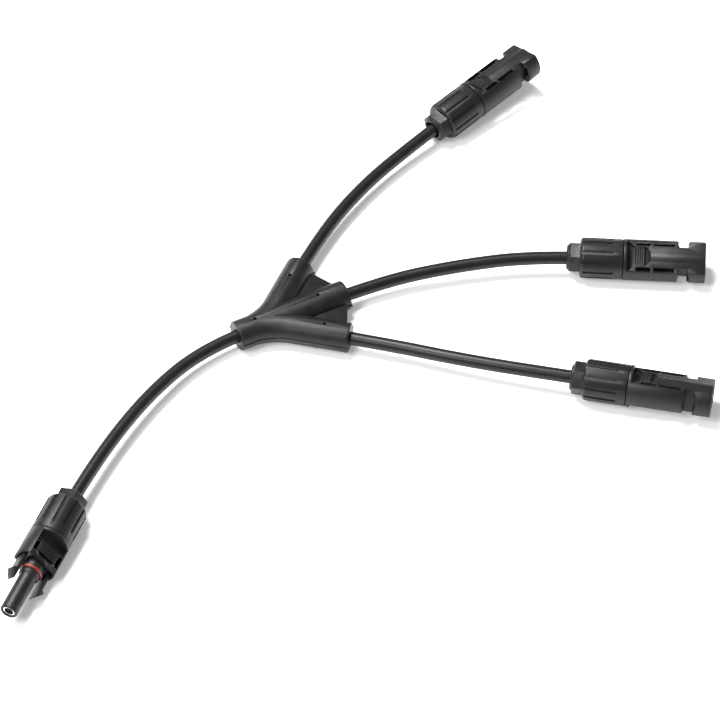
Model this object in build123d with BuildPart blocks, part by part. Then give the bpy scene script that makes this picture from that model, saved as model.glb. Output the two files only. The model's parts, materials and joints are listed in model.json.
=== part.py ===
"""Three-to-one branch cable for solar panels.

Three socket-ended leads join in a moulded trident block and leave it as one lead with a
latching plug. The whole harness lies flat, with its lowest faces on Z = 0. X runs along
the block, from the trunk towards the middle leg, and the origin is the middle of the
block's underside.

Each connector is drawn once on its own axis: X forwards to the mating end, X = 0 where
the gland nut meets the housing, Y across the two latches and Z out of the flat face.
"""

import math
import os

from build123d import *

os.makedirs("parts", exist_ok=True)

# ---------------------------------------------------------------- driving dimensions, mm
cable_r = 2.95
copper_r = 1.30
fixed_gap = 0.05  # between pieces that are fixed to each other
loose_gap = 0.30  # between pieces that move past each other

# gland nut and cable gland, shared by all four connectors
nut_r = 9.0
nut_length = 19.2
hex_length = 5.0
hex_corner_r = 7.3
lip_length = 0.8
lip_r = 5.7
nut_mouth_r = 4.3
groove_count = 12
groove_width = 1.6
groove_depth = 0.55
groove_front_x = -4.3
shoulder_r = 1.8
spigot_r = 7.3
spigot_length = 12.0
thread_pitch = 2.0
thread_depth = 0.6
collet_r = 5.3
collet_slit = 0.9
collet_slit_length = 6.0
seal_r = 5.7
seal_rib_depth = 0.35
seal_rib_pitch = 2.4

# housings: a ring that matches the nut, then a round body cut to two flats, with a low
# rounded swelling along the middle of each flat
ring_r = 9.15
ring_length = 1.4
flat_z = 5.5
swelling_r = 5.95
recess_floor = 4.0
recess_half_width = 4.6
recess_mouth_half_width = 7.3
nose_half_width = 1.9
block_height = 1.3
rib_gap = 0.45
rib_pitch = 1.0
rib_depth = 0.3
rib_end_wall = 0.8
slot_y = 6.15
slot_width = 2.15
channel_outer_y = 7.95
channel_half_height = 2.8

# receptacle, the socket-ended half
receptacle_length = 36.2
receptacle_channel_inner_y = 5.2
waist_start = 24.1
waist_end = 28.4
waist_slope = 1.4
waist_y = 4.9
mouth_r = 4.6
mouth_length = 6.6
sleeve_r = 4.0
pin_r = 1.95
pin_tip_x = 26.0
pin_nose_r = 0.55
pin_nose_length = 1.3

# plug, the half with the tube and the two latch arms
plug_length = 14.4
tube_tip_x = 39.7
tube_r = 3.7
tube_bore_r = 2.75
collar_r = 4.4
collar_tip_x = 20.2
ring_groove_x = 17.7
ring_groove_width = 1.8
ring_groove_depth = 0.9
sealing_ring_r = 0.75
plug_channel_inner_y = 5.2
plug_cavity_depth = 1.6
plug_wall = 0.9
socket_r = 2.0
socket_depth = 15.0
socket_wall_r = 2.7
arm_inner_y = 6.1
arm_outer_y = 7.6
arm_half_height = 2.2
arm_root_x = 3.0
arm_tip_x = 26.6
barb_y = 8.8
barb_step = 7.5  # from the front of the plug housing
barb_rise = 0.5
barb_length = 3.5

# contacts and what holds them
contact_bore_r = 3.2
contact_bore_end = 8.5
contact_start = -1.6
barrel_r = 2.4
barrel_end = 10.5
flange_r = 3.0
flange_start = 3.9
flange_end = 5.6
crimp_end = 3.6
strand_reach = 4.8  # how far a conductor runs on past the end of its sheath

# branch block
block_half_length = 26.6
fork_x = -11.7
leg_angle = 40.0
leg_length = 37.0
leg_r = 6.55
trunk_r = 6.75
fork_bend_r = 31.0
axis_z_block = 6.55
end_radius = 0.7
flange_reach = 0.55
flange_thickness = 1.0
web_thickness = 3.2
web_leg_inset = 5.5
web_middle_x = 24.6
web_middle_y = 6.0
pin_hole_r = 0.75
pin_hole_reach = 25.6  # along an outer leg, from the fork
splice_back_x = -20.0
splice_front_x = -3.2
splice_back_y = 2.6
splice_front_y = 6.4
splice_half_height = 2.3
core_wall = 1.5
core_half_height = 4.2
jacket_start = 17.45  # from the fork to the ends of the sheaths in the legs
trunk_jacket_x = -19.0

# where the connectors lie: joint centre X, Y, Z, then heading, lift of the front and roll
# about the axis, in degrees
receptacle_seats = [
    (133.0, 78.5, 10.8, 15.5, 5.3, -12.5),
    (144.3, -40.0, 9.15, -31.0, 0, 26.7),
    (108.4, -105.5, 9.15, -39.2, 0, -20.1),
]
plug_seat = (-146.1, -68.4, 9.15, -138.3, 0, -46.3)
nut_turns = [17.7, 47.0, 11.7, 54.3]  # of a hex corner, from Y towards Z
jacket_end_x = -1.8

# cable routes from the block to a connector: hand-laid corner points, X, Y, Z
cable_routes = [
    [(1.7, 11.25, 6.55), (29.3, 34.4, 6.55), (62.0, 54.7, 7.0), (97.7, 68.7, 7.4)],
    [(6.5, 0.0, 6.55), (42.0, 0.0, 6.55), (77.5, -8.3, 8.0), (112.8, -21.1, 9.15)],
    [(1.7, -11.25, 6.55), (26.6, -32.15, 6.55), (54.5, -59.9, 8.0), (81.4, -83.5, 9.15)],
    [(-21.5, 0.0, 6.55), (-43.0, 0.0, 6.55), (-78.5, -15.5, 8.1), (-117.8, -43.2, 9.15)],
]


def connector_plane(x, y, z, heading, lift, roll):
    """The connector's own frame, turned to its heading, lifted in front and rolled."""
    turn, rise, tilt = math.radians(heading), math.radians(lift), math.radians(roll)
    level = Vector(math.cos(turn), math.sin(turn), 0)
    to_the_right = Vector(math.sin(turn), -math.cos(turn), 0)
    forwards = level * math.cos(rise) + Vector(0, 0, 1) * math.sin(rise)
    upwards = Vector(0, 0, 1) * math.cos(rise) - level * math.sin(rise)
    flat_faces = upwards * math.cos(tilt) + to_the_right * math.sin(tilt)
    return Plane(origin=(x, y, z), x_dir=forwards, z_dir=flat_faces)


def write_piece(source, name, seat=Plane.XY):
    """Sets a finished piece in its seat, labels it and writes its STEP file."""
    with BuildPart() as piece:
        add(source.part.moved(seat.location))
    piece.part.label = name
    export_step(piece.part, f"parts/{name}.step")


def ring_of(x_start, x_end, outer_r, inner_r):
    """Adds a plain ring about the connector's axis to the part being built."""
    with BuildSketch(Plane.YZ.offset(x_start)) as section:
        Circle(outer_r)
        Circle(inner_r, mode=Mode.SUBTRACT)
    extrude(section.sketch, amount=x_end - x_start)


def bore(x_start, x_end, radius):
    """Cuts a round hole along the connector's axis in the part being built."""
    with BuildSketch(Plane.YZ.offset(x_start)) as section:
        Circle(radius)
    extrude(section.sketch, amount=x_end - x_start, mode=Mode.SUBTRACT)


def body_outline(inset):
    """Draws a housing's section, or the same section drawn in by an inset."""
    Circle(ring_r - inset)
    Rectangle(2 * ring_r, 2 * (flat_z - inset), mode=Mode.INTERSECT)
    Circle(swelling_r - inset)


def housing_blank(length):
    """Adds the threaded spigot, the ring and the body of a housing."""
    with BuildSketch(Plane.XZ) as thread_section:
        with BuildLine():
            crest_x = -spigot_length + 1.0
            teeth = [(0.5, 0), (-spigot_length, 0), (-spigot_length, spigot_r - thread_depth)]
            for turn in range(int((spigot_length - 2.0) / thread_pitch)):
                x = crest_x + turn * thread_pitch
                teeth += [(x, spigot_r), (x + 0.5, spigot_r), (x + 1.1, spigot_r - thread_depth)]
            Polyline(*teeth, (0.5, spigot_r - thread_depth), close=True)
        make_face()
    revolve(thread_section.sketch, axis=Axis.X)
    with BuildSketch(Plane.YZ) as ring_section:
        Circle(ring_r)
    extrude(ring_section.sketch, amount=ring_length)
    with BuildSketch(Plane.YZ.offset(ring_length)) as body_section:
        body_outline(0)
    extrude(body_section.sketch, amount=length - ring_length)


def gland_bores():
    """Cuts the seat of the cable seal and the bore that holds the contact."""
    bore(-spigot_length, jacket_end_x, seal_r + fixed_gap)
    bore(jacket_end_x, contact_bore_end, contact_bore_r)


def grip_recess(block_start, block_end, ramp_end, throat_half_width):
    """Cuts the recess and its ramp in both flats, and leaves the ribbed grip block in it."""
    for side in (1, -1):
        floor = Plane(origin=(0, 0, side * recess_floor), x_dir=(1, 0, 0), z_dir=(0, 0, side))
        with BuildSketch(floor) as recess_plan:
            with BuildLine():
                Polyline(
                    (ring_length, -recess_mouth_half_width),
                    (ring_length, recess_mouth_half_width),
                    (block_start - 0.3, throat_half_width),
                    (block_start - 0.3, recess_half_width),
                    (block_end, recess_half_width),
                    (block_end + 0.45 * (ramp_end - block_end), recess_half_width - 0.8),
                    (ramp_end, nose_half_width),
                    (ramp_end, -nose_half_width),
                    (block_end + 0.45 * (ramp_end - block_end), 0.8 - recess_half_width),
                    (block_end, -recess_half_width),
                    (block_start - 0.3, -recess_half_width),
                    (block_start - 0.3, -throat_half_width),
                    close=True,
                )
            make_face()
        extrude(recess_plan.sketch, amount=5, mode=Mode.SUBTRACT)
        with BuildSketch(Plane.XZ.offset(-recess_half_width)) as ramp_section:
            with BuildLine():
                Polyline(
                    (block_end, side * recess_floor),
                    (ramp_end, side * (flat_z - 0.05)),
                    (ramp_end + 0.3, side * (flat_z - 0.05)),
                    (ramp_end + 0.3, side * recess_floor),
                    close=True,
                )
            make_face()
        extrude(ramp_section.sketch, amount=2 * recess_half_width)
        block_length = block_end - block_start
        with BuildSketch(floor) as block_plan:
            with Locations((block_start + block_length / 2, 0)):
                Rectangle(block_length, 2 * recess_half_width)
        extrude(block_plan.sketch, amount=block_height)
        with BuildSketch(floor.offset(block_height - rib_depth)) as gaps_plan:
            with Locations((block_start + block_length / 2, 0)):
                with GridLocations(rib_pitch, 0, 4, 1):
                    Rectangle(rib_gap, 2 * (recess_half_width - rib_end_wall))
        extrude(gaps_plan.sketch, amount=2, mode=Mode.SUBTRACT)


def slots(x_start, x_end):
    """Cuts the four long slots that open the latch channels, two in each flat."""
    for side in (1, -1):
        inside = Plane(origin=(0, 0, side * 2.0), x_dir=(1, 0, 0), z_dir=(0, 0, side))
        with BuildSketch(inside) as slot_plan:
            with Locations(((x_start + x_end) / 2, slot_y), ((x_start + x_end) / 2, -slot_y)):
                RectangleRounded(x_end - x_start, slot_width, slot_width / 2 - 0.3)
        extrude(slot_plan.sketch, amount=8, mode=Mode.SUBTRACT)


def latch_channels(x_start, x_end, inner_y):
    """Cuts the two channels that the latch arms lie in."""
    width = channel_outer_y - inner_y
    with BuildSketch(Plane.YZ.offset(x_start)) as section:
        for side in (1, -1):
            with Locations((side * (inner_y + width / 2), 0)):
                Rectangle(width, 2 * channel_half_height)
    extrude(section.sketch, amount=x_end - x_start, mode=Mode.SUBTRACT)


# ---------------------------------------------------------------- gland nut
with BuildPart() as gland_nut:
    with BuildSketch(Plane.XZ):
        with BuildLine():
            Polyline(
                (-0.15, 0),
                (-0.15, nut_r - 0.35),
                (-0.5, nut_r),
                (-nut_length + shoulder_r, nut_r),
            )
            ThreePointArc(
                (-nut_length + shoulder_r, nut_r),
                (
                    -nut_length + shoulder_r * (1 - math.sin(math.pi / 4)),
                    nut_r - shoulder_r * (1 - math.cos(math.pi / 4)),
                ),
                (-nut_length, nut_r - shoulder_r),
            )
            Polyline((-nut_length, nut_r - shoulder_r), (-nut_length, 0), (-0.15, 0))
        make_face()
    revolve(axis=Axis.X)
    with BuildSketch(Plane.YZ.offset(-nut_length - hex_length)):
        RegularPolygon(hex_corner_r, 6)
    extrude(amount=hex_length + 0.5)
    chamfer(faces().sort_by(Axis.X)[0].edges(), length=0.75, length2=0.55)
    with BuildSketch(Plane.YZ.offset(-nut_length - hex_length - lip_length)):
        Circle(lip_r)
    extrude(amount=lip_length + 0.5)
    chamfer(faces().sort_by(Axis.X)[0].edges(), length=0.6)
    for groove in range(groove_count):
        turn = 2 * math.pi * (groove + 0.5) / groove_count
        outwards = (0, math.sin(turn), math.cos(turn))
        groove_length = nut_length + groove_front_x + 2.0
        with BuildSketch(Plane((0, 0, 0), (1, 0, 0), outwards).offset(nut_r - groove_depth)):
            with Locations((groove_front_x - groove_length / 2, 0)):
                SlotOverall(groove_length, groove_width)
        extrude(amount=2, mode=Mode.SUBTRACT)
    bore(-nut_length - hex_length - lip_length, 0, nut_mouth_r)
    bore(-nut_length + 0.2, 0, collet_r + 0.6)
    bore(-spigot_length - 0.6, 0, spigot_r + loose_gap)

# ---------------------------------------------------------------- clamp collet
collet_start = -nut_length + 0.6
collet_end = -spigot_length + 2.0
with BuildPart() as clamp_collet:
    ring_of(collet_start, collet_end, collet_r, cable_r + loose_gap)
    chamfer(faces().sort_by(Axis.X)[0].edges().sort_by(SortBy.LENGTH)[-1], length=0.9)
    with BuildSketch(Plane.YZ.offset(collet_start)):
        with PolarLocations(0, 8):
            with Locations((collet_r - 1.0, 0)):
                Rectangle(3.4, collet_slit)
    extrude(amount=collet_slit_length, mode=Mode.SUBTRACT)

# ---------------------------------------------------------------- cable seal
with BuildPart() as cable_seal:
    with BuildSketch(Plane.XZ):
        with BuildLine():
            seal_start = collet_end + loose_gap
            ribs = [(seal_start, seal_r - seal_rib_depth)]
            for rib in range(3):
                crest_x = seal_start + 0.9 + rib * seal_rib_pitch
                ribs += [(crest_x, seal_r), (crest_x + seal_rib_pitch / 2, seal_r - seal_rib_depth)]
            Polyline(
                (seal_start, cable_r + fixed_gap),
                *ribs,
                (jacket_end_x - 0.2, seal_r - seal_rib_depth),
                (jacket_end_x - 0.2, cable_r + fixed_gap),
                close=True,
            )
        make_face()
    revolve(axis=Axis.X)

# ---------------------------------------------------------------- contact lock ring
with BuildPart() as lock_ring:
    ring_of(5.8, 7.6, contact_bore_r - fixed_gap, barrel_r + fixed_gap)
    with BuildSketch(Plane.YZ.offset(5.8)):
        with Locations((contact_bore_r, 0)):
            Rectangle(2.4, 1.0)
    extrude(amount=1.8, mode=Mode.SUBTRACT)

# ---------------------------------------------------------------- receptacle housing
with BuildPart() as receptacle_housing:
    housing_blank(receptacle_length)
    front_edges = faces().sort_by(Axis.X)[-1].edges()
    chamfer(front_edges, length=0.3)
    grip_recess(4.9, 9.3, 11.9, recess_half_width + 0.01)
    latch_channels(5.4, receptacle_length, receptacle_channel_inner_y)
    slots(5.4, 12.1)
    slots(13.1, 22.5)
    for side in (1, -1):
        with BuildSketch(Plane.XY.offset(-ring_r)):
            with BuildLine():
                Polyline(
                    (waist_start + 0.5, side * waist_y),
                    (waist_start, side * (waist_y + 0.9)),
                    (waist_start, side * (ring_r - 1.0)),
                    (waist_start - 1.0, side * (ring_r + 0.6)),
                    (waist_end + waist_slope, side * (ring_r + 0.6)),
                    (waist_end + waist_slope, side * ring_r),
                    (waist_end, side * (waist_y + 2.1)),
                    (waist_end, side * waist_y),
                    close=True,
                )
            make_face()
        extrude(amount=2 * ring_r, mode=Mode.SUBTRACT)
    gland_bores()
    bore(contact_bore_end, barrel_end, barrel_r + fixed_gap)
    bore(barrel_end, receptacle_length - mouth_length, sleeve_r)
    bore(receptacle_length - mouth_length, receptacle_length, mouth_r)

# ---------------------------------------------------------------- pin contact
barrel_steps = [
    (contact_start, barrel_r),
    (flange_start, barrel_r),
    (flange_start, flange_r),
    (flange_end, flange_r),
    (flange_end, barrel_r),
]
with BuildPart() as pin_contact:
    with BuildSketch(Plane.XZ):
        with BuildLine():
            Polyline(
                (contact_start, copper_r + fixed_gap),
                *barrel_steps,
                (barrel_end + 1.0, barrel_r),
                (barrel_end + 1.6, pin_r),
                (pin_tip_x - pin_nose_length, pin_r),
            )
            TangentArc(
                (pin_tip_x - pin_nose_length, pin_r), (pin_tip_x, pin_nose_r), tangent=(1, 0)
            )
            Polyline(
                (pin_tip_x, pin_nose_r),
                (pin_tip_x, 0),
                (crimp_end, 0),
                (crimp_end, copper_r + fixed_gap),
                (contact_start, copper_r + fixed_gap),
            )
        make_face()
    revolve(axis=Axis.X)

# ---------------------------------------------------------------- plug housing
with BuildPart() as plug_housing:
    housing_blank(plug_length)
    grip_recess(5.6, 10.6, 12.8, recess_mouth_half_width - 0.2)
    with BuildSketch(Plane.YZ.offset(plug_length - plug_cavity_depth)):
        body_outline(plug_wall)
    extrude(amount=plug_cavity_depth, mode=Mode.SUBTRACT)
    latch_channels(2.2, plug_length, plug_channel_inner_y)
    slots(6.0, 11.8)
    with BuildSketch(Plane.XZ):
        with BuildLine():
            collar_start = plug_length - plug_cavity_depth - 0.5
            ring_groove_start = ring_groove_x - ring_groove_width / 2
            ring_groove_end = ring_groove_x + ring_groove_width / 2
            Polyline(
                (collar_start, 0),
                (collar_start, collar_r),
                (ring_groove_start, collar_r),
                (ring_groove_start, collar_r - ring_groove_depth),
                (ring_groove_end, collar_r - ring_groove_depth),
                (ring_groove_end, collar_r),
                (collar_tip_x, collar_r),
                (collar_tip_x + 0.9, tube_r),
                (tube_tip_x - 0.5, tube_r),
                (tube_tip_x, tube_r - 0.35),
                (tube_tip_x, 0),
                close=True,
            )
        make_face()
    revolve(axis=Axis.X)
    gland_bores()
    bore(contact_bore_end, tube_tip_x, tube_bore_r)

# ---------------------------------------------------------------- socket contact
with BuildPart() as socket_contact:
    socket_front = tube_tip_x - 0.5
    with BuildSketch(Plane.XZ):
        with BuildLine():
            Polyline(
                (contact_start, copper_r + fixed_gap),
                *barrel_steps,
                (barrel_end, barrel_r),
                (barrel_end + 0.4, socket_wall_r),
                (socket_front - 0.3, socket_wall_r),
                (socket_front, socket_wall_r - 0.25),
                (socket_front, socket_r),
                (socket_front - socket_depth, socket_r),
                (socket_front - socket_depth - 1.1, 0),
                (crimp_end, 0),
                (crimp_end, copper_r + fixed_gap),
                close=True,
            )
        make_face()
    revolve(axis=Axis.X)

# ---------------------------------------------------------------- sealing ring on the plug
with BuildPart() as o_ring:
    with BuildSketch(Plane.XZ):
        ring_seat_r = collar_r - ring_groove_depth + fixed_gap
        with Locations((ring_groove_x, ring_seat_r + sealing_ring_r)):
            Circle(sealing_ring_r)
    revolve(axis=Axis.X)


# ---------------------------------------------------------------- latch arms
def latch_arm_outline(side):
    """Draws an arm in plan: a round root, a straight stem and a barb that slopes to the tip."""
    barb_step_x = plug_length + barb_step
    root_r = (arm_outer_y - arm_inner_y) / 2
    with BuildLine() as outline:
        Polyline(
            (arm_root_x + root_r, side * arm_inner_y),
            (arm_tip_x, side * arm_inner_y),
            (arm_tip_x, side * (arm_inner_y + 0.35)),
            (arm_tip_x - barb_length, side * barb_y),
            (barb_step_x + barb_rise, side * barb_y),
            (barb_step_x, side * arm_outer_y),
            (arm_root_x + root_r, side * arm_outer_y),
        )
        ThreePointArc(
            (arm_root_x + root_r, side * arm_outer_y),
            (arm_root_x, side * (arm_outer_y + arm_inner_y) / 2),
            (arm_root_x + root_r, side * arm_inner_y),
        )
    make_face(outline.edges())


with BuildPart() as latch_arm_left:
    with BuildSketch(Plane.XY.offset(-arm_half_height)):
        latch_arm_outline(1)
    extrude(amount=2 * arm_half_height)

with BuildPart() as latch_arm_right:
    with BuildSketch(Plane.XY.offset(-arm_half_height)):
        latch_arm_outline(-1)
    extrude(amount=2 * arm_half_height)

# ---------------------------------------------------------------- branch block
leg_turn = math.radians(leg_angle)
leg_end_x = fork_x + leg_length * math.cos(leg_turn)
leg_end_y = leg_length * math.sin(leg_turn)


def leg_path(side):
    """The axis of an outer leg: along the trunk, round the fork and out to the leg's end."""
    start = (-block_half_length, 0, axis_z_block)
    corner = (fork_x, 0, axis_z_block)
    end = (leg_end_x, side * leg_end_y, axis_z_block)
    return FilletPolyline(start, corner, end, radius=fork_bend_r)


def fork_bore(start_x, reach, radius):
    """Cuts the trunk's and the legs' cable passages from the fork outwards."""
    for heading in (0, leg_angle, -leg_angle):
        turn = math.radians(heading)
        along = (math.cos(turn), math.sin(turn), 0)
        passage = Plane(origin=(fork_x, 0, axis_z_block), x_dir=(0, 0, 1), z_dir=along)
        with BuildSketch(passage.offset(start_x)) as section:
            Circle(radius)
        extrude(section.sketch, amount=reach - start_x, mode=Mode.SUBTRACT)


def trunk_bore(radius):
    """Cuts the trunk's cable passage out through the end of the trunk."""
    passage = Plane(origin=(trunk_jacket_x, 0, axis_z_block), x_dir=(0, 0, 1), z_dir=(-1, 0, 0))
    with BuildSketch(passage) as section:
        Circle(radius)
    extrude(section.sketch, amount=10, mode=Mode.SUBTRACT)


def splice_plan(margin):
    """Draws the wedge shape of the splice in plan, grown by a margin."""
    with BuildLine() as outline:
        Polyline(
            (splice_back_x - margin, splice_back_y + margin),
            (splice_front_x + margin, splice_front_y + margin),
            (splice_front_x + margin, -splice_front_y - margin),
            (splice_back_x - margin, -splice_back_y - margin),
            close=True,
        )
    make_face(outline.edges())


mid_plane = Plane.XY.offset(axis_z_block)

with BuildPart() as branch_overmould:
    with BuildSketch(Plane.YZ.offset(-block_half_length)):
        with Locations((0, axis_z_block)):
            Circle(trunk_r)
    extrude(amount=2 * block_half_length)
    for side in (1, -1):
        with BuildLine() as leg_line:
            leg_path(side)
        with BuildSketch(Plane.YZ.offset(-block_half_length)):
            with Locations((0, axis_z_block)):
                Circle(leg_r)
        sweep(path=leg_line.line)
    end_faces = faces().filter_by(GeomType.PLANE)
    end_rims = [edge for face in end_faces for edge in face.edges().filter_by(GeomType.CIRCLE)]
    fillet(end_rims, radius=end_radius)
    with BuildSketch(mid_plane.offset(-web_thickness / 2)):
        for side in (1, -1):
            with BuildLine():
                Polyline(
                    (fork_x, 0),
                    (leg_end_x + 1.5, side * (leg_end_y - web_leg_inset)),
                    (web_middle_x, side * web_middle_y),
                    close=True,
                )
            make_face()
    extrude(amount=web_thickness)
    with BuildSketch(mid_plane.offset(-flange_thickness)):
        Rectangle(2 * block_half_length, 2 * (trunk_r + flange_reach))
        for side in (1, -1):
            with BuildLine() as strip_line:
                leg_path(side)
            trace(strip_line.line, 2 * (leg_r + flange_reach))
    extrude(amount=flange_thickness)
    split(bisect_by=Plane.XY, keep=Keep.TOP)
    fork_bore(jacket_start, leg_length + 2, cable_r + fixed_gap)
    trunk_bore(cable_r + fixed_gap)
    fork_bore(0, jacket_start + 0.5, copper_r + fixed_gap)
    with BuildSketch(mid_plane.offset(-core_half_height - fixed_gap)):
        splice_plan(core_wall + fixed_gap)
    extrude(amount=2 * (core_half_height + fixed_gap), mode=Mode.SUBTRACT)
    pin_places = [(-17.4, 0), (13.3, 0)]
    for side in (1, -1):
        hole_x = fork_x + pin_hole_reach * math.cos(leg_turn)
        pin_places.append((hole_x, side * pin_hole_reach * math.sin(leg_turn)))
    with BuildSketch(mid_plane.offset(core_half_height + 0.6)):
        with Locations(*pin_places):
            Circle(pin_hole_r)
    extrude(amount=8, mode=Mode.SUBTRACT)

with BuildPart() as inner_core:
    with BuildSketch(mid_plane.offset(-core_half_height)):
        splice_plan(core_wall)
    extrude(amount=2 * core_half_height)
    with BuildSketch(mid_plane.offset(-splice_half_height - fixed_gap)):
        splice_plan(fixed_gap)
    extrude(amount=2 * (splice_half_height + fixed_gap), mode=Mode.SUBTRACT)
    fork_bore(0, 14.0, copper_r + fixed_gap)
    trunk_bore(copper_r + fixed_gap)

with BuildPart() as splice_block:
    with BuildSketch(mid_plane.offset(-splice_half_height)):
        splice_plan(0)
    extrude(amount=2 * splice_half_height)
    fork_bore(5.0, 14.0, copper_r + fixed_gap)
    with BuildSketch(Plane.YZ.offset(-21.0)):
        with Locations((0, axis_z_block)):
            Circle(copper_r + fixed_gap)
    extrude(amount=5.0, mode=Mode.SUBTRACT)


# ---------------------------------------------------------------- cables
def stretched(route, before, after):
    """The route with its ends moved out along their own runs by two lengths."""
    first, second = Vector(*route[0]), Vector(*route[1])
    last, before_last = Vector(*route[-1]), Vector(*route[-2])
    start = first - (second - first).normalized() * before
    end = last + (last - before_last).normalized() * after
    return [start] + [Vector(*point) for point in route[1:-1]] + [end]


def corner_radii(route):
    """The radius at each corner: 0.45 of the shorter run over the tangent of half the turn."""
    radii = []
    for before, corner, after in zip(route, route[1:], route[2:]):
        arriving, leaving = corner - before, after - corner
        half_turn = math.radians(arriving.get_angle(leaving)) / 2
        shorter = min(arriving.length, leaving.length)
        radii.append(0.45 * shorter / math.tan(half_turn))
    return radii


def cable_piece(route, radii, outer_r, inner_r):
    """A round tube or rod along a route of straight runs and tangent arcs."""
    with BuildPart() as piece:
        with BuildLine():
            path = FilletPolyline(*route, radius=radii)
        start = Plane(origin=route[0], z_dir=(route[1] - route[0]))
        with BuildSketch(start):
            Circle(outer_r)
            if inner_r:
                Circle(inner_r, mode=Mode.SUBTRACT)
        sweep(path=path)
    area = math.pi * (outer_r**2 - inner_r**2)
    print("  volume over section times length", piece.part.volume / (area * path.length))
    return piece, path.length


receptacle_planes = [connector_plane(*seat) for seat in receptacle_seats]
plug_plane = connector_plane(*plug_seat)
cable_names = ["upper", "middle", "lower", "trunk"]
cable_ends = receptacle_planes + [plug_plane]
splice_seats = [11.7, 12.4, 11.7, 4.5]  # bare conductor inside the block, to the splice
for name, corners, seat, bare in zip(cable_names, cable_routes, cable_ends, splice_seats):
    end = seat.origin + seat.x_dir * jacket_end_x
    route = [Vector(*corner) for corner in corners] + [end]
    radii = corner_radii(route)
    jacket, length = cable_piece(route, radii, cable_r, copper_r + fixed_gap)
    print(name, "cable length", round(length, 1), "radii", [round(r, 1) for r in radii])
    for before, after in zip(route, route[1:]):
        print("  run", round((after - before).length, 1))
    conductor, length = cable_piece(
        stretched([tuple(p) for p in route], bare, strand_reach), radii, copper_r, 0
    )
    write_piece(jacket, f"{name}_cable_jacket")
    write_piece(conductor, f"{name}_conductor")

# ---------------------------------------------------------------- the connectors in place
nut_seats = [Plane(seat.location * Rot(X=t)) for seat, t in zip(cable_ends, nut_turns)]
for name, seat, nut_seat in zip(cable_names, receptacle_planes, nut_seats):
    write_piece(receptacle_housing, f"{name}_receptacle_housing", seat)
    write_piece(pin_contact, f"{name}_pin_contact", seat)
    write_piece(lock_ring, f"{name}_contact_lock_ring", seat)
    write_piece(cable_seal, f"{name}_cable_seal", seat)
    write_piece(clamp_collet, f"{name}_clamp_collet", seat)
    write_piece(gland_nut, f"{name}_gland_nut", nut_seat)

write_piece(plug_housing, "plug_housing", plug_plane)
write_piece(socket_contact, "plug_socket_contact", plug_plane)
write_piece(o_ring, "plug_o_ring", plug_plane)
write_piece(latch_arm_left, "plug_latch_arm_left", plug_plane)
write_piece(latch_arm_right, "plug_latch_arm_right", plug_plane)
write_piece(lock_ring, "plug_contact_lock_ring", plug_plane)
write_piece(cable_seal, "plug_cable_seal", plug_plane)
write_piece(clamp_collet, "plug_clamp_collet", plug_plane)
write_piece(gland_nut, "plug_gland_nut", nut_seats[-1])

write_piece(branch_overmould, "branch_overmould")
write_piece(inner_core, "branch_inner_core")
write_piece(splice_block, "branch_splice_block")
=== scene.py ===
"""The looks of a three-to-one branch cable for solar panels.

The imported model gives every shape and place, in metres. This script adds the cables as smooth
curves, softens the moulded edges, and gives each piece its material.
"""

import json
import math

import bmesh
import bpy
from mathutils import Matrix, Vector

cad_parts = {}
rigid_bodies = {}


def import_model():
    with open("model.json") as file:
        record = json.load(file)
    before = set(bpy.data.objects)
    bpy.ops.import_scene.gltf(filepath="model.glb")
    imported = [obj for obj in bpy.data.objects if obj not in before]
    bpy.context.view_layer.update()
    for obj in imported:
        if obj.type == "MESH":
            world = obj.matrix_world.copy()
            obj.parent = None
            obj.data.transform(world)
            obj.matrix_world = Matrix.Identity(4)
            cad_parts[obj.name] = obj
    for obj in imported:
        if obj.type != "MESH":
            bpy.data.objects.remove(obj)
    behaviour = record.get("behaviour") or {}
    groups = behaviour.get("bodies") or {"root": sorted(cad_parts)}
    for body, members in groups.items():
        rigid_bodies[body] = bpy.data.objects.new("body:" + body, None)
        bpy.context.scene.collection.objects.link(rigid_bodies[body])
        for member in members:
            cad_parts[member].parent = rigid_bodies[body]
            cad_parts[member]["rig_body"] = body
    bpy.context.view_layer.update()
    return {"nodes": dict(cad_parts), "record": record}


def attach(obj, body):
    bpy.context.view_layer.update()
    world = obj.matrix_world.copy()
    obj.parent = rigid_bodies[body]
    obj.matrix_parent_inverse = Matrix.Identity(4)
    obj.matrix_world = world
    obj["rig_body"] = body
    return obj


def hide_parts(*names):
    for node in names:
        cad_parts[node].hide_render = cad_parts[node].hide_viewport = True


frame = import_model()
scene = bpy.context.scene
nodes = frame["nodes"]

MM = 0.001

# ---------------------------------------------------------------- camera
ELEVATION = math.radians(48.0)
DISTANCE = 1.46
LENS = 169.4
SENSOR_WIDTH = 36.0
CLIP_START = 0.05
CLIP_END = 20.0
AIM = Vector((0.0139, -0.0383, 0.008))
AWAY = Vector((0.463, 0.886, 0.0)).normalized()
UP = Vector((0, 0, 1))


def facing(direction):
    """The turn that points a camera or a light along a direction."""
    return direction.to_track_quat("-Z", "Y").to_euler()


def add_camera():
    """Looks down at the harness from in front, with the trunk lead at the lower left."""
    data = bpy.data.cameras.new("camera")
    data.lens = LENS
    data.sensor_width = SENSOR_WIDTH
    data.clip_start = CLIP_START
    data.clip_end = CLIP_END
    camera = bpy.data.objects.new("camera", data)
    back = -AWAY * math.cos(ELEVATION) + UP * math.sin(ELEVATION)
    camera.location = AIM + back * DISTANCE
    camera.rotation_euler = facing(-back)
    scene.collection.objects.link(camera)
    scene.camera = camera


# ---------------------------------------------------------------- cables
CABLE_DIAMETER = 5.9 * MM
CURVE_STEPS = 24
ROUND_STEPS = 12

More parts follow.
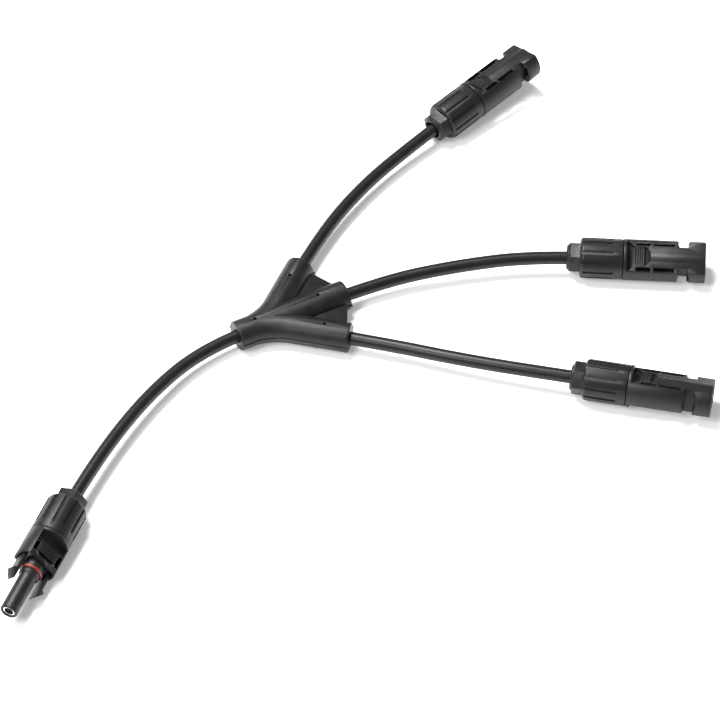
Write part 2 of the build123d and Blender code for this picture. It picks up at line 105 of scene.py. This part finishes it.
# The same corner points as the CAD routes, in metres, from the block to the connector.
ROUTES = {
    "upper": [
        (0.0017, 0.01125, 0.00655),
        (0.0293, 0.0344, 0.00655),
        (0.0620, 0.0547, 0.0070),
        (0.0977, 0.0687, 0.0074),
        (0.13127, 0.07802, 0.01063),
    ],
    "middle": [
        (0.0065, 0.0, 0.00655),
        (0.0420, 0.0, 0.00655),
        (0.0775, -0.0083, 0.0080),
        (0.1128, -0.0211, 0.00915),
        (0.14276, -0.03907, 0.00915),
    ],
    "lower": [
        (0.0017, -0.01125, 0.00655),
        (0.0266, -0.03215, 0.00655),
        (0.0545, -0.0599, 0.0080),
        (0.0814, -0.0835, 0.00915),
        (0.10701, -0.10436, 0.00915),
    ],
    "trunk": [
        (-0.0215, 0.0, 0.00655),
        (-0.0430, 0.0, 0.00655),
        (-0.0785, -0.0155, 0.0081),
        (-0.1178, -0.0432, 0.00915),
        (-0.14476, -0.0672, 0.00915),
    ],
}


def add_cable(name):
    """One cable as a smooth curve along its route, from the block into its connector."""
    route = ROUTES[name]
    data = bpy.data.curves.new(f"{name}_cable", "CURVE")
    data.dimensions = "3D"
    data.resolution_u = CURVE_STEPS
    data.bevel_depth = CABLE_DIAMETER / 2
    data.bevel_resolution = ROUND_STEPS
    data.use_fill_caps = True
    spline = data.splines.new("NURBS")
    spline.points.add(len(route) - 1)
    for point, place in zip(spline.points, route):
        point.co = (*place, 1.0)
    spline.order_u = 3
    spline.use_endpoint_u = True
    spline.use_smooth = True
    data.materials.append(MATERIALS["cable_sheath"])
    cable = bpy.data.objects.new(f"{name}_cable", data)
    scene.collection.objects.link(cable)
    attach(cable, "harness")
    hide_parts(f"{name}_cable_jacket", f"{name}_conductor")


# ---------------------------------------------------------------- material parts
# The noise values that are stretched over a whole range of colour or of roughness.
CLOUD_BAND = (0.35, 0.65)
PATCH_BAND = (0.35, 0.7)
GLOSS_BAND = (0.3, 0.7)


def new_material(name):
    """An empty material with its node tree and its shader."""
    material = bpy.data.materials.new(name)
    material.use_nodes = True
    tree = material.node_tree
    return material, tree, tree.nodes["Principled BSDF"]


def add_noise(tree, scale, detail, roughness=0.55):
    """Noise in the object's own space, so its scale is per metre."""
    place = tree.nodes.new("ShaderNodeTexCoord")
    noise = tree.nodes.new("ShaderNodeTexNoise")
    noise.inputs["Scale"].default_value = scale
    noise.inputs["Detail"].default_value = detail
    noise.inputs["Roughness"].default_value = roughness
    tree.links.new(place.outputs["Object"], noise.inputs["Vector"])
    return noise.outputs["Fac"]


def add_range(tree, value, band, low, high):
    """The value, stretched so that the band's ends become low and high."""
    node = tree.nodes.new("ShaderNodeMapRange")
    node.inputs["From Min"].default_value = band[0]
    node.inputs["From Max"].default_value = band[1]
    node.inputs["To Min"].default_value = low
    node.inputs["To Max"].default_value = high
    tree.links.new(value, node.inputs["Value"])
    return node.outputs["Result"]


def add_mix(tree, factor, colour_a, colour_b):
    """A colour between two others."""
    node = tree.nodes.new("ShaderNodeMix")
    node.data_type = "RGBA"
    node.inputs["A"].default_value = (*colour_a, 1.0)
    node.inputs["B"].default_value = (*colour_b, 1.0)
    tree.links.new(factor, node.inputs["Factor"])
    return node.outputs["Result"]


def tint(tree, shader, noise, band, colour_a, colour_b):
    """Base colour that wanders between two tones with the noise."""
    factor = add_range(tree, noise, band, 0, 1)
    tree.links.new(add_mix(tree, factor, colour_a, colour_b), shader.inputs["Base Color"])


def vary_gloss(tree, shader, noise, low, high):
    """Roughness that wanders between low and high with the noise."""
    tree.links.new(add_range(tree, noise, GLOSS_BAND, low, high), shader.inputs["Roughness"])


def add_bump(tree, shader, height, strength, depth, before=None):
    """Surface relief, laid over an earlier relief if one is given."""
    node = tree.nodes.new("ShaderNodeBump")
    node.inputs["Strength"].default_value = strength
    node.inputs["Distance"].default_value = depth
    tree.links.new(height, node.inputs["Height"])
    if before:
        tree.links.new(before, node.inputs["Normal"])
    tree.links.new(node.outputs["Normal"], shader.inputs["Normal"])
    return node.outputs["Normal"]


# ---------------------------------------------------------------- materials
def moulded_plastic(name, dark, light, roughness, grain):
    """Moulded plastic: cloudy tone, uneven gloss and a fine grain."""
    grain_scale, grain_depth = grain
    material, tree, shader = new_material(name)
    tint(tree, shader, add_noise(tree, scale=160, detail=3), CLOUD_BAND, dark, light)
    vary_gloss(tree, shader, add_noise(tree, scale=1300, detail=4), *roughness)
    fine = add_noise(tree, scale=grain_scale, detail=2, roughness=0.6)
    add_bump(tree, shader, fine, strength=0.6, depth=grain_depth)
    shader.inputs["Specular IOR Level"].default_value = 0.30
    return material


def cable_sheath():
    """Black extruded sheath with a soft shine and the faint unevenness of extrusion."""
    dark = (0.005, 0.005, 0.006)
    light = (0.008, 0.008, 0.0095)
    material, tree, shader = new_material("cable_sheath")
    tint(tree, shader, add_noise(tree, scale=220, detail=4), CLOUD_BAND, dark, light)
    vary_gloss(tree, shader, add_noise(tree, scale=900, detail=4), 0.30, 0.42)
    uneven = add_noise(tree, scale=340, detail=3)
    waves = add_bump(tree, shader, uneven, strength=0.35, depth=0.06 * MM)
    fine = add_noise(tree, scale=5200, detail=2)
    add_bump(tree, shader, fine, strength=0.25, depth=0.02 * MM, before=waves)
    shader.inputs["Specular IOR Level"].default_value = 0.28
    return material


def rubber(name, dark, light, roughness):
    """Soft silicone with a faint bloom."""
    material, tree, shader = new_material(name)
    bloom = add_noise(tree, scale=700, detail=4)
    tint(tree, shader, bloom, PATCH_BAND, dark, light)
    vary_gloss(tree, shader, bloom, roughness - 0.06, roughness + 0.08)
    fine = add_noise(tree, scale=6000, detail=2)
    add_bump(tree, shader, fine, strength=0.2, depth=0.02 * MM)
    return material


def metal(name, bright, dull, roughness):
    """Tin or steel with fine tool marks and slightly dull patches."""
    material, tree, shader = new_material(name)
    patches = add_noise(tree, scale=900, detail=4)
    tint(tree, shader, patches, PATCH_BAND, bright, dull)
    vary_gloss(tree, shader, patches, roughness - 0.08, roughness + 0.12)
    shader.inputs["Metallic"].default_value = 1.0
    marks = add_noise(tree, scale=9000, detail=2)
    add_bump(tree, shader, marks, strength=0.2, depth=0.01 * MM)
    return material


def grey(level):
    return (level, level, level)


# Each row: darkest tone, lightest tone, roughness from and to, grain per metre and its depth.
PLASTICS = {
    "housing_plastic": (
        (0.0055, 0.0055, 0.0065),
        (0.009, 0.009, 0.0105),
        (0.32, 0.50),
        (3000, 0.12 * MM),
    ),
    "nut_plastic": (
        (0.0055, 0.0055, 0.0065),
        (0.0085, 0.0085, 0.010),
        (0.32, 0.50),
        (3000, 0.12 * MM),
    ),
    "overmould_plastic": (
        (0.005, 0.005, 0.006),
        (0.009, 0.009, 0.0105),
        (0.30, 0.50),
        (2300, 0.20 * MM),
    ),
    "collet_plastic": (
        (0.05, 0.052, 0.055),
        (0.065, 0.067, 0.07),
        (0.45, 0.55),
        (4200, 0.02 * MM),
    ),
    "core_plastic": (
        grey(0.07),
        grey(0.09),
        (0.45, 0.60),
        (3600, 0.03 * MM),
    ),
}
# Each row: darkest and lightest tone, roughness.
RUBBERS = {
    "seal_rubber": ((0.04, 0.04, 0.042), (0.06, 0.06, 0.062), 0.6),
    "ring_rubber": ((0.13, 0.012, 0.008), (0.19, 0.022, 0.014), 0.42),
}
# Each row: bright and dull tone, roughness.
METALS = {
    "tinned_contact": ((0.80, 0.79, 0.77), (0.62, 0.61, 0.60), 0.24),
    "tinned_copper": ((0.76, 0.72, 0.68), (0.60, 0.55, 0.50), 0.32),
    "splice_metal": ((0.76, 0.74, 0.71), (0.58, 0.56, 0.54), 0.34),
    "spring_steel": (grey(0.66), grey(0.50), 0.26),
}
MATERIALS = {"cable_sheath": cable_sheath()}
MATERIALS.update({name: moulded_plastic(name, *row) for name, row in PLASTICS.items()})
MATERIALS.update({name: rubber(name, *row) for name, row in RUBBERS.items()})
MATERIALS.update({name: metal(name, *row) for name, row in METALS.items()})
SLOT_OF = {row["node"]: row["material_slot"] for row in frame["record"]["subparts"]}


def dress(node_name):
    """Gives a CAD node its slot's material."""
    for slot in nodes[node_name].material_slots:
        slot.link = "OBJECT"
        slot.material = MATERIALS[SLOT_OF[node_name]]


# ---------------------------------------------------------------- moulded edges
HOUSING_EDGE = 0.09 * MM
NUT_EDGE = 0.18 * MM
BLOCK_EDGE = 0.20 * MM
WELD_DISTANCE = 0.01 * MM
FLAT_ANGLE = math.radians(1)
ROUNDED_ANGLE = math.radians(28)
SHARP_ANGLE = math.radians(38)


def softened(node_name, radius, merge_flats=True):
    """A copy of a CAD piece with its sharp edges rounded, standing for that piece.

    A piece whose flat faces have pockets in them keeps its triangles, because one merged face
    would close the pockets.
    """
    source = nodes[node_name]
    mesh = source.data.copy()
    work = bmesh.new()
    work.from_mesh(mesh)
    bmesh.ops.remove_doubles(work, verts=work.verts, dist=WELD_DISTANCE)
    if merge_flats:
        bmesh.ops.dissolve_limit(
            work, angle_limit=FLAT_ANGLE, verts=work.verts, edges=work.edges
        )
    work.to_mesh(mesh)
    work.free()
    name = f"{node_name}_moulded"
    piece = bpy.data.objects.new(name, mesh)
    scene.collection.objects.link(piece)
    bevel = piece.modifiers.new("edges", "BEVEL")
    bevel.width = radius
    bevel.segments = 2
    bevel.limit_method = "ANGLE"
    bevel.angle_limit = ROUNDED_ANGLE
    bevel.harden_normals = False
    bevel.use_clamp_overlap = merge_flats
    bevel.miter_outer = "MITER_ARC"
    baked = bpy.data.meshes.new_from_object(
        piece.evaluated_get(bpy.context.evaluated_depsgraph_get())
    )
    piece.modifiers.clear()
    piece.data = baked
    baked.name = name
    baked.materials.clear()
    baked.materials.append(MATERIALS[SLOT_OF[node_name]])
    baked.shade_smooth()
    baked.set_sharp_from_angle(angle=SHARP_ANGLE)
    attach(piece, source["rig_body"])
    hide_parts(node_name)
    return piece


# ---------------------------------------------------------------- floor and light
FLOOR_HALF = 3.0
FLOOR_DROP = 0.1 * MM
FLOOR_GLOW = 0.25
WHITE = (1.0, 1.0, 1.0, 1.0)
WORLD_STRENGTH = 0.26

# Each row: place in metres, width and height in metres, power in watts.
LIGHTS = {
    "overhead": ((-0.2, 0.5, 1.3), (0.7, 0.5), 44),
    "left": ((-0.9, -0.3, 1.1), (0.5, 0.7), 14),
}


def add_floor():
    """A nearly white floor, lit from within a little so that shadows stay faint."""
    mesh = bpy.data.meshes.new("floor")
    signs = [(-1, -1), (1, -1), (1, 1), (-1, 1)]
    corners = [(x * FLOOR_HALF, y * FLOOR_HALF, 0) for x, y in signs]
    mesh.from_pydata(corners, [], [(0, 1, 2, 3)])
    floor = bpy.data.objects.new("floor", mesh)
    floor.location.z = -FLOOR_DROP
    scene.collection.objects.link(floor)
    material, tree, shader = new_material("floor")
    tone = add_noise(tree, scale=3, detail=2)
    tree.links.new(
        add_mix(tree, tone, grey(0.90), grey(0.94)), shader.inputs["Base Color"]
    )
    shader.inputs["Roughness"].default_value = 0.8
    shader.inputs["Emission Color"].default_value = WHITE
    shader.inputs["Emission Strength"].default_value = FLOOR_GLOW
    mesh.materials.append(material)


def add_light(name, place, size, power):
    """A rectangular lamp that points at the middle of the harness."""
    data = bpy.data.lights.new(name, "AREA")
    data.shape = "RECTANGLE"
    data.size, data.size_y = size
    data.energy = power
    light = bpy.data.objects.new(name, data)
    light.location = place
    light.rotation_euler = facing(-Vector(place))
    scene.collection.objects.link(light)


def add_studio():
    """White surroundings, a large lamp overhead and a weaker one from the left."""
    world = bpy.data.worlds.new("studio")
    world.use_nodes = True
    background = world.node_tree.nodes["Background"]
    background.inputs["Color"].default_value = WHITE
    background.inputs["Strength"].default_value = WORLD_STRENGTH
    scene.world = world
    scene.view_settings.view_transform = "Standard"
    for name, row in LIGHTS.items():
        add_light(name, *row)


# ---------------------------------------------------------------- the whole harness
RECEPTACLE_INSIDE = ["pin_contact", "contact_lock_ring", "cable_seal", "clamp_collet"]
PLUG_INSIDE = ["socket_contact", "o_ring", "contact_lock_ring", "cable_seal", "clamp_collet"]

add_camera()
add_studio()
add_floor()

for node_name in nodes:
    dress(node_name)

for lead in ("upper", "middle", "lower"):
    receptacle_pieces = [
        softened(f"{lead}_receptacle_housing", HOUSING_EDGE, merge_flats=False),
        softened(f"{lead}_gland_nut", NUT_EDGE),
    ]
    receptacle_pieces += [f"{lead}_{part}" for part in RECEPTACLE_INSIDE]
    add_cable(lead)

plug_pieces = [
    softened("plug_housing", HOUSING_EDGE, merge_flats=False),
    softened("plug_gland_nut", NUT_EDGE),
    softened("plug_latch_arm_left", NUT_EDGE),
    softened("plug_latch_arm_right", NUT_EDGE),
]
plug_pieces += [f"plug_{part}" for part in PLUG_INSIDE]
add_cable("trunk")
softened("branch_overmould", BLOCK_EDGE)
